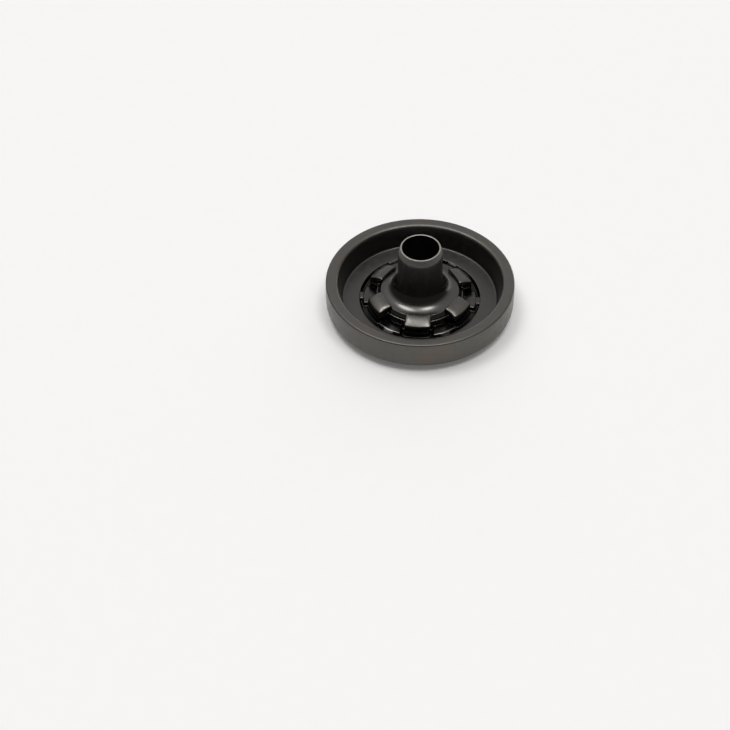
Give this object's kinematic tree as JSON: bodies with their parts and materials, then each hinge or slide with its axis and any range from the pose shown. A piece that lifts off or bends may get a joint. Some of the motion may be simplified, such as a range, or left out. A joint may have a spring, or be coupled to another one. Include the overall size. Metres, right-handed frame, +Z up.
{
  "type": "snap fastener cap with hollow post",
  "caption": "Round metal snap fastener cap lying on its face, with a hollow post whose flange is held by staked prongs in the dished back.",
  "frame": {"origin": "middle of the cap's flat face, which is the side it lies on", "axes": "+Z up along the post's axis, from the face to the open end of the post"},
  "size_m": [0.015, 0.015, 0.0062],
  "materials": {
    "plated_zinc": "die-cast zinc with satin gunmetal plating",
    "plated_brass": "drawn brass with smooth gunmetal plating"
  },
  "bodies": {
    "root": {"cap": "plated_zinc", "hollow_post": "plated_brass"}
  },
  "joints": []
}
